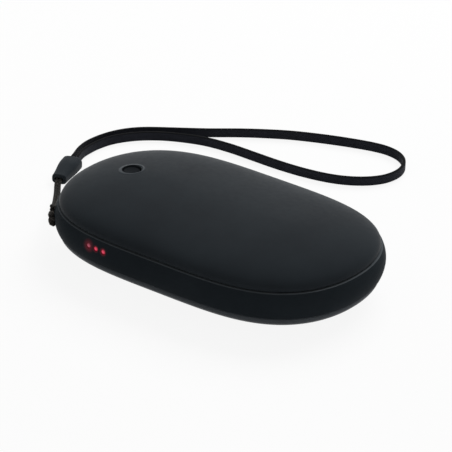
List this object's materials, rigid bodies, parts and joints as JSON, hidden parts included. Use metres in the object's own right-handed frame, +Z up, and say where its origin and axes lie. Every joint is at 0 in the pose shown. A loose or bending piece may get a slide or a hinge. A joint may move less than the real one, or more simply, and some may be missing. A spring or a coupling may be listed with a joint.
{
  "type": "rechargeable hand warmer",
  "caption": "Pebble-shaped rechargeable hand warmer: domed covers on an oval band, power button, charge lights, end sockets, wrist strap.",
  "frame": {"origin": "middle of the flat of the lower cover that the warmer lies on", "axes": "+Z up, +X along the long axis away from the button and the sockets, the charge lights on the -Y side"},
  "size_m": [0.1292, 0.1221, 0.0229],
  "materials": {
    "cover": "dark grey satin coating",
    "frame": "black moulded plastic, low sheen",
    "button": "black moulded plastic",
    "light": "clear red light pipe",
    "led": "moulded diode",
    "steel": "stamped and plated",
    "nickel": "bare nickel strip",
    "socket_insulator": "black moulded plastic",
    "board": "green solder mask",
    "chip": "black epoxy",
    "ferrite": "grey ferrite",
    "can": "drawn can",
    "connector": "ivory nylon",
    "pouch": "silver laminate",
    "tray": "dark grey moulded plastic",
    "film": "amber film",
    "foam": "closed-cell foam",
    "lead_red": "red insulation",
    "lead_black": "black insulation",
    "string": "black braided string",
    "clasp": "dark grey moulded plastic",
    "webbing": "black woven webbing"
  },
  "bodies": {
    "housing": {"top_cover": "cover", "bottom_cover": "cover", "middle_frame": "frame", "switch_body": "chip", "main_board": "board", "output_socket_shell": "steel", "output_socket_tongue": "socket_insulator", "charge_socket_shell": "steel", "charge_socket_tongue": "socket_insulator", "inductor": "ferrite", "charge_chip": "chip", "capacitor_1": "can", "capacitor_2": "can", "battery_connector": "connector", "heater_connector": "connector", "charge_led_1": "led", "charge_led_2": "led", "charge_led_3": "led", "light_pipe_1": "light", "light_pipe_2": "light", "light_pipe_3": "light", "battery_pouch": "pouch", "protection_board": "board", "protection_chip": "chip", "cell_tab_plus": "nickel", "cell_tab_minus": "nickel", "battery_tray": "tray", "tray_screw_1": "steel", "tray_screw_2": "steel", "tray_screw_3": "steel", "tray_screw_4": "steel", "board_screw_1": "steel", "board_screw_2": "steel", "heater_film_top": "film", "heater_film_bottom": "film", "foam_pad_top": "foam", "foam_pad_bottom": "foam", "thermistor": "chip", "lead_battery_plus": "lead_red", "lead_battery_minus": "lead_black", "lead_heater_top": "lead_red", "lead_heater_bottom": "lead_black", "string_bight": "string", "string_knot": "string", "string_strand_upper": "string", "string_strand_lower": "string", "strap_clasp": "clasp", "wrist_strap": "webbing"},
    "button": {"power_button": "button", "switch_plunger": "button"}
  },
  "joints": [
    {"name": "power_button_press", "type": "slide", "parent": "housing", "child": "button", "axis": [0, 0, -1], "range_m": [0, 0.0004], "stiffness_N_per_m": 2000}
  ]
}
